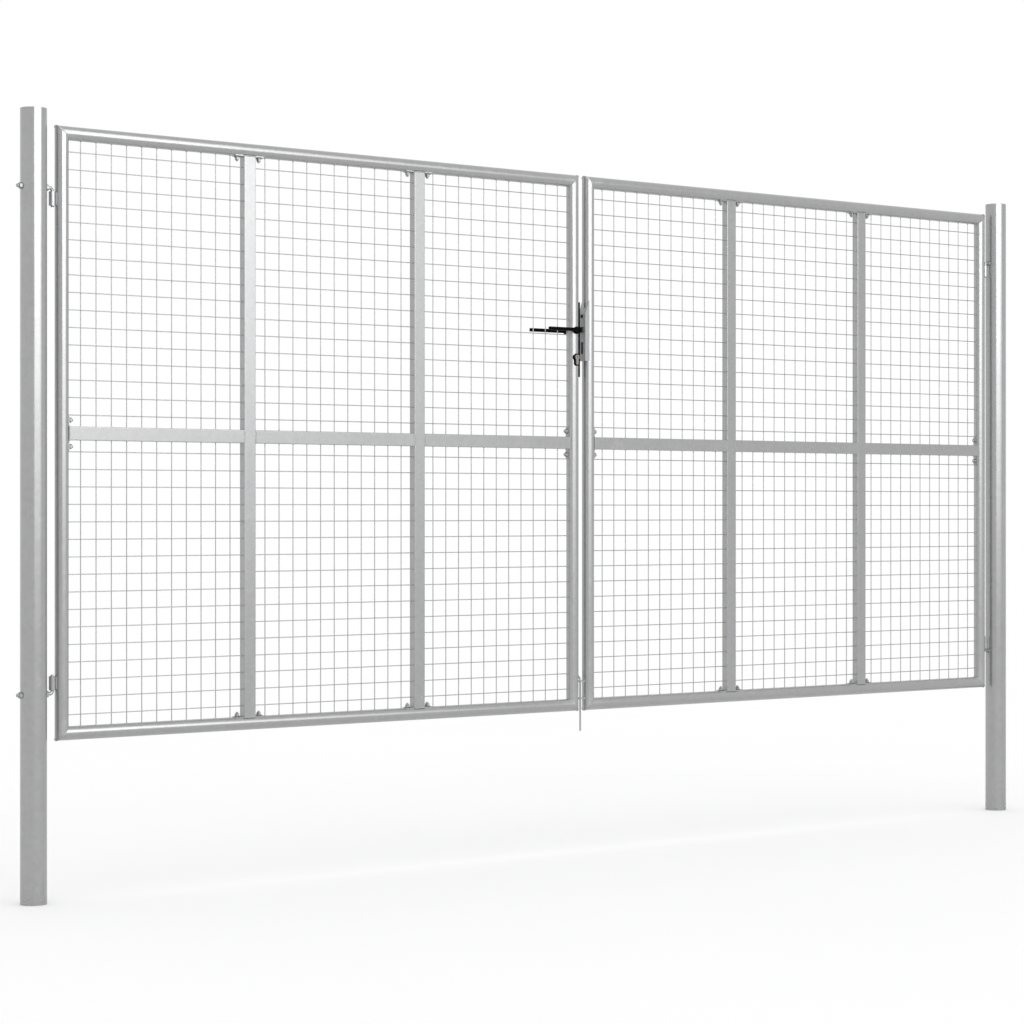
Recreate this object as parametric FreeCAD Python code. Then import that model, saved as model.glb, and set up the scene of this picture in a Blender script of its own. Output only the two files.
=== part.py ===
import FreeCAD, Part
import math
import os

from FreeCAD import Vector

# Double-leaf garden gate: two round posts, two mesh-filled tube leaves, a lever lock and a drop bolt.
# Millimetres. X runs along the gate with 0 midway between the leaves, -Y is the front (street) side,
# +Z is up and Z = 0 is the buried foot of both posts. The left leaf is at -X.

# ---------------------------------------------------------------- driving dimensions
POST_OD = 76.0
POST_WALL = 2.0
POST_HEIGHT = 2250.0
CAP_FLANGE = 2.0
CAP_SKIRT = 14.0
CAP_WALL = 1.5
CAP_CLEARANCE = 0.1

LEAF_WIDTH = 1908.0
LEAF_HEIGHT = 1750.0
LEAF_FROM_FOOT = 458.0
MEETING_GAP = 26.0
POST_GAP = 31.0
TUBE_OD = 40.0
TUBE_WALL = 1.5

BAYS = 3
BAR_FACE = 40.0
BAR_DEPTH = 27.0
BAR_WALL = 1.5
BAR_CORNER = 2.0

WIRE_D = 3.0
WIRE_PITCH = 50.0
WIRE_BITE = 0.5
WIRE_MARGIN = 30.0

SADDLE_T = 2.5
SADDLE_LENGTH = 100.0
SADDLE_WIDTH = 24.0
STUD_D = 8.0
STUD_OFFSET = 38.0
STUD_TAIL = 15.0
STUD_INSIDE = 1.0
FLANGE_NUT_FLAT = 13.0
FLANGE_NUT_H = 8.0
FLANGE_NUT_RIM_D = 17.9
FLANGE_NUT_RIM_T = 1.5

PIN_D = 10.0
PIN_BEND_R = 10.0
PIN_RUNNING = 0.06
PIN_HOLE_PLAY = 0.5
PIN_STUB = 15.0
PIN_TAIL = 4.0
PIN_NUT_FLAT = 16.0
PIN_NUT_H = 8.0
BARREL_OD = 20.0
BARREL_H = 40.0
BARREL_REST = 0.5
BARREL_WEB = 8.0
TOP_PIN_DOWN = 179.0
BOTTOM_PIN_UP = 134.0

FOREND_TOP_DOWN = 415.3
FOREND_LENGTH = 244.0
FOREND_WIDTH = 24.0
FOREND_PROUD = 3.0
SPINDLE_DOWN = 508.0
CYLINDER_DROP = 88.0
CASE_THICK = 16.0
CASE_DEPTH = 36.5
CASE_WALL = 1.2
CASE_ABOVE = 30.0
CASE_BELOW = 34.0
SLIDE_PLAY = 0.2

SPINDLE_SQUARE = 8.0
SPINDLE_PAST_ROSE = 11.0
FOLLOWER_R = 9.0
FOLLOWER_T = 8.0
FOLLOWER_HUB_R = 6.93
FOLLOWER_HUB_RUNNING = 0.07
ARM_REACH = 13.0
ARM_WIDTH = 5.0
ROSE_OD = 24.0
ROSE_PROUD = 6.0
LEVER_COLLAR_D = 20.0
LEVER_COLLAR = 12.0
LEVER_GAP = 0.4
LEVER_BAR = 11.0
LEVER_BEND_R = 5.0
LEVER_STAND = 24.0
LEVER_REACH = 134.5
LEVER_ROUND = 1.5

LATCH_RISE = 4.0
LATCH_H = 16.0
LATCH_T = 12.0
LATCH_NOSE = 16.4
LATCH_INSIDE = 5.5
LATCH_BEVEL = 9.0
LATCH_PLAY = 0.3
BOLT_RISE = 32.0
BOLT_H = 37.0
BOLT_T = 10.0
BOLT_LENGTH = 35.5

EURO_HEAD_D = 17.0
EURO_BODY_W = 10.0
EURO_HEIGHT = 33.0
EURO_FRONT_PROUD = 7.0
EURO_REAR_PROUD = 1.5
EURO_RIM = 3.5
EURO_RIM_PROUD = 4.0
PLUG_D = 10.0
PLUG_RUNNING = 0.05
CAM_T = 10.0
CAM_REACH = 12.0
KEYWAY_W = 2.0
KEYWAY_H = 7.0
KEYWAY_DEEP = 3.0

KEEPER_PROUD = 6.0
KEEPER_WIDTH = 36.0
KEEPER_WALL = 2.5
KEEPER_BOTTOM_DROP = 98.0
KEEPER_FLAT = 153.0
KEEPER_RAMP = 46.0
KEEPER_EDGE = 0.8
KEEPER_SCREW_DROP = 20.0
KEEPER_SLOT_W = 15.0
KEEPER_SLOT_H = 11.0
KEEPER_SLOT_DOWN = 6.5
POCKET_PLAY = 1.5
SCREW_D = 5.0
SCREW_HEAD_D = 9.2
SCREW_HEAD_H = 2.6
SCREW_LENGTH = 14.0
SCREW_SOCKET = 3.0
SCREW_SOCKET_DEEP = 1.6
SCREW_INSET = 12.0

DROP_D = 6.0
DROP_BELOW_LEAF = 67.0
DROP_RUNNING = 0.1
GUIDE_T = 5.0
GUIDE_WIDTH = 16.0
GUIDE_BEYOND = 5.0
GUIDE_HEIGHTS = (40.0, 96.0)
DROP_BEND_R = 9.0
DROP_LEAN = 50.0
DROP_HANDLE = 34.0

# ---------------------------------------------------------------- derived places (left leaf)
TUBE_R = TUBE_OD / 2
MEETING_X = -(MEETING_GAP / 2 + TUBE_R)
HINGE_X = MEETING_X - (LEAF_WIDTH - TUBE_OD)
POST_X = HINGE_X - TUBE_R - POST_GAP - POST_OD / 2
LEAF_LOW = LEAF_FROM_FOOT
LEAF_TOP = LEAF_FROM_FOOT + LEAF_HEIGHT
BOTTOM_Z = LEAF_LOW + TUBE_R
TOP_Z = LEAF_TOP - TUBE_R
MID_Z = (LEAF_LOW + LEAF_TOP) / 2
BAY = (MEETING_X - HINGE_X) / BAYS
MULLION_X = [HINGE_X + BAY * i for i in range(1, BAYS)]
HINGE_AXIS_X = HINGE_X - TUBE_R - BARREL_OD / 2
TOP_PIN_Z = LEAF_TOP - TOP_PIN_DOWN
BOTTOM_PIN_Z = LEAF_LOW + BOTTOM_PIN_UP
MEETING_EDGE = MEETING_X + TUBE_R
FOREND_FACE = MEETING_EDGE + FOREND_PROUD
FOREND_TOP = LEAF_TOP - FOREND_TOP_DOWN
FOREND_LOW = FOREND_TOP - FOREND_LENGTH
SPINDLE_Z = LEAF_TOP - SPINDLE_DOWN
CYLINDER_Z = SPINDLE_Z - CYLINDER_DROP
CASE_LOW = CYLINDER_Z - CASE_BELOW
CASE_TOP = SPINDLE_Z + CASE_ABOVE
LATCH_Z = SPINDLE_Z + LATCH_RISE
BOLT_Z = CYLINDER_Z + BOLT_RISE
SADDLE_R = TUBE_R + SADDLE_T
ROSE_FACE = TUBE_R + ROSE_PROUD
SPINDLE_HALF = ROSE_FACE + SPINDLE_PAST_ROSE
LEVER_OUT = ROSE_FACE + LEVER_STAND
EURO_FRONT = TUBE_R + EURO_FRONT_PROUD
EURO_REAR = TUBE_R + EURO_REAR_PROUD
EAST, WEST = Vector(1, 0, 0), Vector(-1, 0, 0)
NORTH, UP, DOWN = Vector(0, 1, 0), Vector(0, 0, 1), Vector(0, 0, -1)


# ---------------------------------------------------------------- helpers
def block(x0, x1, y0, y1, z0, z1):
    """A box between two corners."""
    return Part.makeBox(x1 - x0, y1 - y0, z1 - z0, Vector(x0, y0, z0))


def rod(radius, start, end):
    """A round bar from start to end."""
    way = end - start
    return Part.makeCylinder(radius, way.Length, start, way)


def mirrored(shape):
    """The right-hand twin of a left-hand piece."""
    return shape.mirror(Vector(0, 0, 0), EAST)


def hex_prism(flat, height, centre, way):
    """A hexagonal bar that starts at centre and points along way."""
    corner = flat / 2 / math.cos(math.radians(30))
    ring = [Vector(corner * math.cos(math.radians(a)), corner * math.sin(math.radians(a)), 0)
            for a in range(0, 361, 60)]
    bar = Part.Face(Part.makePolygon(ring)).extrude(Vector(0, 0, height))
    bar.Placement = FreeCAD.Placement(centre, FreeCAD.Rotation(UP, way))
    return bar


def hex_nut(flat, height, centre, way, bore):
    """A hexagon nut whose corners are turned down at both faces."""
    nut = hex_prism(flat, height, Vector(0, 0, 0), UP).cut(Part.makeCylinder(bore, height))
    corner = flat / 2 / math.cos(math.radians(30))
    drop = (corner - flat / 2) * 0.6
    profile = [Vector(0, 0, 0), Vector(flat / 2, 0, 0), Vector(corner, 0, drop),
               Vector(corner, 0, height - drop), Vector(flat / 2, 0, height),
               Vector(0, 0, height), Vector(0, 0, 0)]
    envelope = Part.Face(Part.makePolygon(profile)).revolve(Vector(0, 0, 0), UP, 360)
    nut = nut.common(Part.Solid(envelope))
    nut.Placement = FreeCAD.Placement(centre, FreeCAD.Rotation(UP, way))
    return nut


def elbow(radius, start, centre, normal, angle):
    """A bent stretch of round bar: the circle at start is turned about an axis through centre."""
    way = normal.cross(start - centre)
    ring = Part.Face(Part.Wire(Part.makeCircle(radius, start, way)))
    return Part.Solid(ring.revolve(centre, normal, angle))


def screw_blank(head_centre, way, length):
    """A countersunk screw without its drive, flat head at head_centre, pointing along way."""
    head = Part.makeCone(SCREW_HEAD_D / 2, SCREW_D / 2, SCREW_HEAD_H, head_centre, way)
    shank = Part.makeCylinder(SCREW_D / 2, length, head_centre, way)
    return head.fuse(shank)


def driven(blank, head_centre, way):
    """The screw with a hexagon socket in its head."""
    return blank.cut(hex_prism(SCREW_SOCKET, SCREW_SOCKET_DEEP, head_centre, way))


def profile_cylinder(y0, y1, grow=0.0):
    """The keyhole-shaped outline of a profile cylinder, standing between two Y planes."""
    head_r = EURO_HEAD_D / 2 + grow
    foot_r = EURO_BODY_W / 2 + grow
    foot_z = CYLINDER_Z + EURO_HEAD_D / 2 - EURO_HEIGHT + EURO_BODY_W / 2
    head = rod(head_r, Vector(MEETING_X, y0, CYLINDER_Z), Vector(MEETING_X, y1, CYLINDER_Z))
    foot = rod(foot_r, Vector(MEETING_X, y0, foot_z), Vector(MEETING_X, y1, foot_z))
    neck = block(MEETING_X - foot_r, MEETING_X + foot_r, y0, y1, foot_z, CYLINDER_Z)
    return head.multiFuse([foot, neck]).removeSplitter()


def upright(x, radius, z0, z1):
    """A vertical round bar on the gate's middle plane."""
    return rod(radius, Vector(x, 0, z0), Vector(x, 0, z1))


def level(z, radius, x0, x1):
    """A horizontal round bar on the gate's middle plane."""
    return rod(radius, Vector(x0, 0, z), Vector(x1, 0, z))


# ---------------------------------------------------------------- posts and hinges
def pin_bar_zs():
    """Heights of the hinge pins' bars and the way their upright ends point."""
    return {"top": (TOP_PIN_Z, -1), "bottom": (BOTTOM_PIN_Z, 1)}


def make_post():
    tube_top = POST_HEIGHT - CAP_FLANGE
    post = upright(POST_X, POST_OD / 2, 0, tube_top)
    post = post.cut(upright(POST_X, POST_OD / 2 - POST_WALL, -1, tube_top + 1))
    for z, _ in pin_bar_zs().values():
        hole = level(z, PIN_D / 2 + PIN_HOLE_PLAY, POST_X - POST_OD, POST_X + POST_OD)
        post = post.cut(hole)
    return post


def make_cap():
    tube_top = POST_HEIGHT - CAP_FLANGE
    inner_r = POST_OD / 2 - POST_WALL - CAP_CLEARANCE
    cap = upright(POST_X, POST_OD / 2, tube_top, POST_HEIGHT)
    cap = cap.makeFillet(CAP_FLANGE * 0.45, [e for e in cap.Edges if e.BoundBox.ZMin > POST_HEIGHT - 0.1])
    skirt = upright(POST_X, inner_r, tube_top - CAP_SKIRT, tube_top)
    skirt = skirt.cut(upright(POST_X, inner_r - CAP_WALL, tube_top - CAP_SKIRT - 1, tube_top))
    return cap.fuse(skirt).removeSplitter()


def make_hinge_pin(bar_z, way):
    """An L-shaped pin: a level bar through the post and an upright end for the leaf's barrel."""
    radius = PIN_D / 2
    outer_x = POST_X - POST_OD / 2 - PIN_STUB
    bend_x = HINGE_AXIS_X - PIN_BEND_R
    bar = level(bar_z, radius, outer_x, bend_x)
    centre = Vector(bend_x, 0, bar_z + way * PIN_BEND_R)
    turn = elbow(radius, Vector(bend_x, 0, bar_z), centre, Vector(0, -way, 0), 90)
    end_z = bar_z + way * (PIN_BEND_R + BARREL_REST + BARREL_H + PIN_TAIL)
    tail = rod(radius, Vector(HINGE_AXIS_X, 0, bar_z + way * PIN_BEND_R), Vector(HINGE_AXIS_X, 0, end_z))
    return bar.multiFuse([turn, tail]).removeSplitter()


def make_pin_nuts():
    nuts = []
    for z, _ in pin_bar_zs().values():
        inner = Vector(POST_X + POST_OD / 2, 0, z)
        outer = Vector(POST_X - POST_OD / 2, 0, z)
        nuts.append(hex_nut(PIN_NUT_FLAT, PIN_NUT_H, inner, EAST, PIN_D / 2))
        nuts.append(hex_nut(PIN_NUT_FLAT, PIN_NUT_H, outer, WEST, PIN_D / 2))
    return nuts


def make_hinge_barrels(stile_hull):
    """Two bored barrels, each welded to the hinge stile through a short web."""
    barrels = []
    for bar_z, way in pin_bar_zs().values():
        near = bar_z + way * (PIN_BEND_R + BARREL_REST)
        far = near + way * BARREL_H
        low, high = min(near, far), max(near, far)
        barrel = upright(HINGE_AXIS_X, BARREL_OD / 2, low, high)
        web = block(HINGE_AXIS_X, HINGE_X, -BARREL_WEB / 2, BARREL_WEB / 2, low + 2, high - 2)
        barrel = barrel.fuse(web).cut(stile_hull)
        barrels.append(barrel.cut(upright(HINGE_AXIS_X, PIN_D / 2 + PIN_RUNNING, low - 1, high + 1)))
    return barrels


# ---------------------------------------------------------------- leaf frame
def mitre(points):
    """A prism through the gate's thickness over an outline in X and Z."""
    ring = [Vector(x, -TUBE_OD, z) for x, z in points]
    return Part.Face(Part.makePolygon(ring + ring[:1])).extrude(Vector(0, 2 * TUBE_OD, 0))


def tube_between(start, end):
    way = (end - start).normalize()
    outer = rod(TUBE_R, start, end)
    return outer.cut(rod(TUBE_R - TUBE_WALL, start - way, end + way))


def stud_places():
    """Every stud of a leaf: a point on the frame tube's axis, and the way into the bay."""
    places = []
    for x in MULLION_X:
        for side in (-1, 1):
            places.append((Vector(x + side * STUD_OFFSET, 0, TOP_Z), DOWN))
            places.append((Vector(x + side * STUD_OFFSET, 0, BOTTOM_Z), UP))
    for side in (-1, 1):
        places.append((Vector(HINGE_X, 0, MID_Z + side * STUD_OFFSET), EAST))
        places.append((Vector(MEETING_X, 0, MID_Z + side * STUD_OFFSET), WEST))
    return places


def make_studs():
    root = TUBE_R - TUBE_WALL - STUD_INSIDE
    return [rod(STUD_D / 2, at + way * root, at + way * (TUBE_R + STUD_TAIL)) for at, way in stud_places()]


def make_stud_nuts():
    nuts = []
    for at, way in stud_places():
        seat = at + way * SADDLE_R
        body = hex_nut(FLANGE_NUT_FLAT, FLANGE_NUT_H, seat, way, STUD_D / 2)
        rim = Part.makeCylinder(FLANGE_NUT_RIM_D / 2, FLANGE_NUT_RIM_T, seat, way)
        rim = rim.cut(Part.makeCylinder(STUD_D / 2, FLANGE_NUT_RIM_T, seat, way))
        nuts.append(body.fuse(rim).removeSplitter())
    return nuts


def make_frame_tubes(studs):
    """Top rail, bottom rail, hinge stile and meeting stile, mitred where they meet."""
    west, east, low, high = HINGE_X, MEETING_X, BOTTOM_Z, TOP_Z
    over = TUBE_OD
    outlines = {
        "top_rail": [(west - over, high + over), (east + over, high + over),
                     (east - over, high - over), (west + over, high - over)],
        "bottom_rail": [(west - over, low - over), (east + over, low - over),
                        (east - over, low + over), (west + over, low + over)],
        "hinge_stile": [(west - over, low - over), (west - over, high + over),
                        (west + over, high - over), (west + over, low + over)],
        "meeting_stile": [(east + over, low - over), (east + over, high + over),
                          (east - over, high - over), (east - over, low + over)],
    }
    ends = {
        "top_rail": (Vector(west - over, 0, high), Vector(east + over, 0, high)),
        "bottom_rail": (Vector(west - over, 0, low), Vector(east + over, 0, low)),
        "hinge_stile": (Vector(west, 0, low - over), Vector(west, 0, high + over)),
        "meeting_stile": (Vector(east, 0, low - over), Vector(east, 0, high + over)),
    }
    holes = Part.makeCompound(studs)
    return {name: tube_between(*ends[name]).common(mitre(outlines[name])).cut(holes)
            for name in outlines}


def rail_hulls(radius):
    """The two rails as solid bars of a chosen radius, for coping what stands between them."""
    x0, x1 = HINGE_X, MEETING_X
    return level(BOTTOM_Z, radius, x0, x1).fuse(level(TOP_Z, radius, x0, x1))


def stile_hulls(radius):
    """The two stiles as solid bars of a chosen radius."""
    return upright(HINGE_X, radius, BOTTOM_Z, TOP_Z).fuse(upright(MEETING_X, radius, BOTTOM_Z, TOP_Z))


def rounded_bar(x0, x1, z0, z1, along):
    """A rectangular hollow section with rounded corners, lying along X or Z."""
    half = BAR_DEPTH / 2
    outer = block(x0, x1, -half, half, z0, z1)
    outer = outer.makeFillet(BAR_CORNER, [e for e in outer.Edges if abs(e.tangentAt(0).dot(along)) > 0.9])
    if along == UP:
        inner = block(x0 + BAR_WALL, x1 - BAR_WALL, BAR_WALL - half, half - BAR_WALL, z0 - 1, z1 + 1)
    else:
        inner = block(x0 - 1, x1 + 1, BAR_WALL - half, half - BAR_WALL, z0 + BAR_WALL, z1 - BAR_WALL)
    return outer.cut(inner)


def make_mullions():
    half = BAR_FACE / 2
    cope = rail_hulls(SADDLE_R)
    return [rounded_bar(x - half, x + half, BOTTOM_Z, TOP_Z, UP).cut(cope) for x in MULLION_X]


def make_mid_rail():
    """Three lengths of bar between the stiles and the two through mullions."""
    half = BAR_FACE / 2
    cope = stile_hulls(SADDLE_R)
    starts = [HINGE_X] + [x + half for x in MULLION_X]
    stops = [x - half for x in MULLION_X] + [MEETING_X]
    return [rounded_bar(a, b, MID_Z - half, MID_Z + half, EAST).cut(cope) for a, b in zip(starts, stops)]


def make_saddles(studs):
    """Curved end plates that carry the bars on the frame tubes."""
    half_l, half_w = SADDLE_LENGTH / 2, SADDLE_WIDTH / 2
    rails = rail_hulls(SADDLE_R).cut(rail_hulls(TUBE_R))
    stiles = stile_hulls(SADDLE_R).cut(stile_hulls(TUBE_R))
    holes = Part.makeCompound(studs)
    saddles = []
    for x in MULLION_X:
        for z0, z1 in ((TOP_Z - SADDLE_R, TOP_Z), (BOTTOM_Z, BOTTOM_Z + SADDLE_R)):
            saddles.append(rails.common(block(x - half_l, x + half_l, -half_w, half_w, z0, z1)))
    for x0, x1 in ((HINGE_X, HINGE_X + SADDLE_R), (MEETING_X - SADDLE_R, MEETING_X)):
        saddles.append(stiles.common(block(x0, x1, -half_w, half_w, MID_Z - half_l, MID_Z + half_l)))
    return [saddle.cut(holes) for saddle in saddles]


def wire_places(low, high):
    """Evenly pitched wires, centred between two faces and kept a margin off both."""
    count = int((high - low - 2 * WIRE_MARGIN) // WIRE_PITCH) + 1
    first = (low + high) / 2 - (count - 1) * WIRE_PITCH / 2
    return [first + i * WIRE_PITCH for i in range(count)]


def make_upper_meshes(frame_hull):
    """Welded wire panels of the upper row, one for each bay, level wires to the front."""
    half = BAR_FACE / 2
    radius = WIRE_D / 2
    offset = radius - WIRE_BITE / 2
    reach = TUBE_R * 0.75
    edges = [HINGE_X] + MULLION_X + [MEETING_X]
    panels = []
    for bay in range(BAYS):
        first, last = bay == 0, bay == BAYS - 1
        face_l = edges[bay] + (TUBE_R if first else half)
        face_r = edges[bay + 1] - (TUBE_R if last else half)
        start_x = face_l - (TUBE_R - reach if first else 0)
        stop_x = face_r + (TUBE_R - reach if last else 0)
        uprights = [rod(radius, Vector(x, offset, MID_Z + half), Vector(x, offset, TOP_Z - reach))
                    for x in wire_places(face_l, face_r)]
        levels = [rod(radius, Vector(start_x, -offset, z), Vector(stop_x, -offset, z))
                  for z in wire_places(MID_Z + half, TOP_Z - TUBE_R)]
        panel = uprights[0].multiFuse(uprights[1:] + levels)
        panels.append(panel.cut(frame_hull))
    return panels


# ---------------------------------------------------------------- lock
def case_box(play=0.0):
    half = CASE_THICK / 2 + play
    front = MEETING_EDGE
    return block(front - CASE_DEPTH - play, front, -half, half, CASE_LOW - play, CASE_TOP + play)


def latch_window(x0, x1, play):
    half_t, half_h = LATCH_T / 2 + play, LATCH_H / 2 + play
    return block(x0, x1, -half_t, half_t, LATCH_Z - half_h, LATCH_Z + half_h)


def bolt_window(x0, x1, play):
    half_t, half_h = BOLT_T / 2 + play, BOLT_H / 2 + play
    return block(x0, x1, -half_t, half_t, BOLT_Z - half_h, BOLT_Z + half_h)


def spindle_bar(half_length):
    half = SPINDLE_SQUARE / 2
    return block(MEETING_X - half, MEETING_X + half, -half_length, half_length,
                 SPINDLE_Z - half, SPINDLE_Z + half)


def make_case():
    front = MEETING_EDGE
    half = CASE_THICK / 2
    case = case_box().cut(block(front - CASE_DEPTH + CASE_WALL, front - CASE_WALL,
                                CASE_WALL - half, half - CASE_WALL,
                                CASE_LOW + CASE_WALL, CASE_TOP - CASE_WALL))
    case = case.cut(latch_window(front - 3, front + 1, SLIDE_PLAY))
    case = case.cut(bolt_window(front - 3, front + 1, SLIDE_PLAY))
    hub = FOLLOWER_HUB_R + FOLLOWER_HUB_RUNNING
    case = case.cut(rod(hub, Vector(MEETING_X, -half - 1, SPINDLE_Z), Vector(MEETING_X, half + 1, SPINDLE_Z)))
    case = case.cut(profile_cylinder(-half - 1, half + 1, SLIDE_PLAY))
    return case.cut(lock_screw_room())


def make_forend(stile_hull):
    """A faceplate that is flat outside and hollowed to sit on the round stile."""
    half = FOREND_WIDTH / 2
    plate = block(MEETING_X, FOREND_FACE, -half, half, FOREND_LOW, FOREND_TOP)
    upright_edges = [e for e in plate.Edges
                     if abs(e.tangentAt(0).dot(UP)) > 0.9 and e.BoundBox.XMin > FOREND_FACE - 0.1]
    plate = plate.makeFillet(1.0, upright_edges)
    plate = plate.cut(stile_hull).cut(case_box())
    plate = plate.cut(latch_window(MEETING_X, FOREND_FACE + 1, SLIDE_PLAY))
    plate = plate.cut(bolt_window(MEETING_X, FOREND_FACE + 1, SLIDE_PLAY))
    return plate.cut(lock_screw_room())


def lock_screw_places():
    """Two faceplate screws, and the long screw that holds the profile cylinder."""
    foot_z = CYLINDER_Z + EURO_HEAD_D / 2 - EURO_HEIGHT + EURO_BODY_W / 2
    return [(Vector(FOREND_FACE, 0, FOREND_LOW + SCREW_INSET), SCREW_LENGTH),
            (Vector(FOREND_FACE, 0, FOREND_TOP - SCREW_INSET), SCREW_LENGTH),
            (Vector(FOREND_FACE, 0, foot_z), FOREND_FACE - MEETING_X)]


def lock_screw_room():
    return Part.makeCompound([screw_blank(at, WEST, length) for at, length in lock_screw_places()])


def make_lock_screws():
    return [driven(screw_blank(at, WEST, length), at, WEST) for at, length in lock_screw_places()]


def make_follower():
    disc = rod(FOLLOWER_R, Vector(MEETING_X, -FOLLOWER_T / 2, SPINDLE_Z),
               Vector(MEETING_X, FOLLOWER_T / 2, SPINDLE_Z))
    hub = rod(FOLLOWER_HUB_R, Vector(MEETING_X, -CASE_THICK / 2, SPINDLE_Z),
              Vector(MEETING_X, CASE_THICK / 2, SPINDLE_Z))
    arm = block(MEETING_X - ARM_WIDTH / 2, MEETING_X + ARM_WIDTH / 2, -FOLLOWER_T / 2, FOLLOWER_T / 2,
                SPINDLE_Z, SPINDLE_Z + ARM_REACH)
    return disc.multiFuse([hub, arm]).cut(spindle_bar(CASE_THICK))


def make_latch():
    """The latch, bevelled at the front, with a tail over the follower's arm and a hook behind it."""
    nose_x = FOREND_FACE + LATCH_NOSE
    inner_x = MEETING_EDGE - LATCH_INSIDE + FOREND_PROUD
    half_t = LATCH_T / 2
    head = latch_window(inner_x, nose_x, 0)
    slope = [Vector(x, y, 0) for x, y in (
        (nose_x - LATCH_BEVEL, -half_t - 1), (nose_x - LATCH_BEVEL, -half_t), (nose_x, half_t - 2.5),
        (nose_x + 1, half_t - 2.5), (nose_x + 1, -half_t - 1))]
    wedge = Part.Face(Part.makePolygon(slope + slope[:1])).extrude(Vector(0, 0, LATCH_H + 2))
    wedge.translate(Vector(0, 0, LATCH_Z - LATCH_H / 2 - 1))
    head = head.cut(wedge)
    tail_low = SPINDLE_Z + ARM_REACH + 1
    tail_high = tail_low + 3
    hook_x = MEETING_X - ARM_WIDTH / 2 - 0.5
    half_f = FOLLOWER_T / 2
    riser_x = MEETING_EDGE - CASE_WALL - LATCH_PLAY
    riser = block(riser_x - 4, riser_x, -half_f, half_f, LATCH_Z + LATCH_H / 2 - 4.5, tail_high)
    tail = block(hook_x - 3, riser_x, -half_f, half_f, tail_low, tail_high)
    hook = block(hook_x - 3, hook_x, -half_f, half_f, SPINDLE_Z + ARM_REACH - 3, tail_high)
    return head.multiFuse([riser, tail, hook]).removeSplitter()


def make_dead_bolt():
    bolt = bolt_window(FOREND_FACE - 0.5 - BOLT_LENGTH, FOREND_FACE - 0.5, 0)
    front_edges = [e for e in bolt.Edges if e.BoundBox.XMin > FOREND_FACE - 0.6]
    return bolt.makeChamfer(0.8, front_edges)


def make_cylinder_body():
    body = profile_cylinder(-EURO_FRONT, EURO_REAR)
    plug_r = PLUG_D / 2 + PLUG_RUNNING
    body = body.cut(rod(plug_r, Vector(MEETING_X, -EURO_FRONT - 1, CYLINDER_Z),
                        Vector(MEETING_X, EURO_REAR + 1, CYLINDER_Z)))
    half = CAM_T / 2 + SLIDE_PLAY
    reach = CAM_REACH + 2
    gap = block(MEETING_X - reach, MEETING_X + reach, -half, half, CYLINDER_Z - reach, CYLINDER_Z + reach)
    return body.cut(gap).cut(lock_screw_room())


def make_plug():
    plug = rod(PLUG_D / 2, Vector(MEETING_X, -EURO_FRONT, CYLINDER_Z),
               Vector(MEETING_X, EURO_REAR, CYLINDER_Z))
    cam = block(MEETING_X - 3, MEETING_X + 3, -CAM_T / 2, CAM_T / 2, CYLINDER_Z - CAM_REACH, CYLINDER_Z)
    plug = plug.fuse(cam)
    for y0, y1 in ((-EURO_FRONT - 1, -EURO_FRONT + KEYWAY_DEEP), (EURO_REAR - KEYWAY_DEEP, EURO_REAR + 1)):
        plug = plug.cut(block(MEETING_X - KEYWAY_W / 2, MEETING_X + KEYWAY_W / 2, y0, y1,
                              CYLINDER_Z - KEYWAY_H / 2, CYLINDER_Z + KEYWAY_H / 2))
    return plug


def make_escutcheon(stile_hull):
    """The rim round the cylinder's front end, hollowed to sit on the round stile."""
    y0, y1 = -TUBE_R - EURO_RIM_PROUD, -TUBE_R * 0.6
    rim = profile_cylinder(y0, y1, EURO_RIM).cut(profile_cylinder(y0 - 1, y1 + 1, SLIDE_PLAY))
    return rim.cut(stile_hull)


def make_roses(stile_hull):
    roses = []
    for side in (-1, 1):
        outer = Vector(MEETING_X, side * ROSE_FACE, SPINDLE_Z)
        centre = Vector(MEETING_X, 0, SPINDLE_Z)
        rose = rod(ROSE_OD / 2, centre, outer)
        bore = rod(SPINDLE_SQUARE * 0.8, centre, outer + Vector(0, side, 0))
        roses.append(rose.cut(bore).cut(stile_hull))
    return roses


def make_lever(side):
    """A lever handle: a round collar over the spindle, then a square bar bent round to a level grip."""
    half = LEVER_BAR / 2
    collar_in = side * (ROSE_FACE + LEVER_GAP)
    collar_out = collar_in + side * LEVER_COLLAR
    neck_in = collar_out - side * 2
    grip_in, grip_out = side * (LEVER_OUT - half), side * (LEVER_OUT + half)
    tip_x = MEETING_X - LEVER_REACH
    ring = [Vector(x, y, SPINDLE_Z - half) for x, y in (
        (MEETING_X + half, neck_in), (MEETING_X + half, grip_out), (tip_x, grip_out),
        (tip_x, grip_in), (MEETING_X - half, grip_in), (MEETING_X - half, neck_in))]
    bar = Part.Face(Part.makePolygon(ring + ring[:1])).extrude(Vector(0, 0, LEVER_BAR))
    for x, y, radius in ((MEETING_X + half, grip_out, LEVER_BEND_R + LEVER_BAR),
                         (MEETING_X - half, grip_in, LEVER_BEND_R)):
        bar = bar.makeFillet(radius, [e for e in bar.Edges if abs(e.tangentAt(0).dot(UP)) > 0.9
                                      and Vector(x, y, SPINDLE_Z).distanceToPoint(e.CenterOfMass) < 0.1])
    flat = [e for e in bar.Edges if e.BoundBox.ZLength < 0.1 and e.BoundBox.XLength > LEVER_BEND_R / 2]
    bar = bar.makeFillet(LEVER_ROUND, flat)
    collar = rod(LEVER_COLLAR_D / 2, Vector(MEETING_X, collar_in, SPINDLE_Z),
                 Vector(MEETING_X, collar_out, SPINDLE_Z))
    return collar.fuse(bar).cut(spindle_bar(SPINDLE_HALF))


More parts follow.
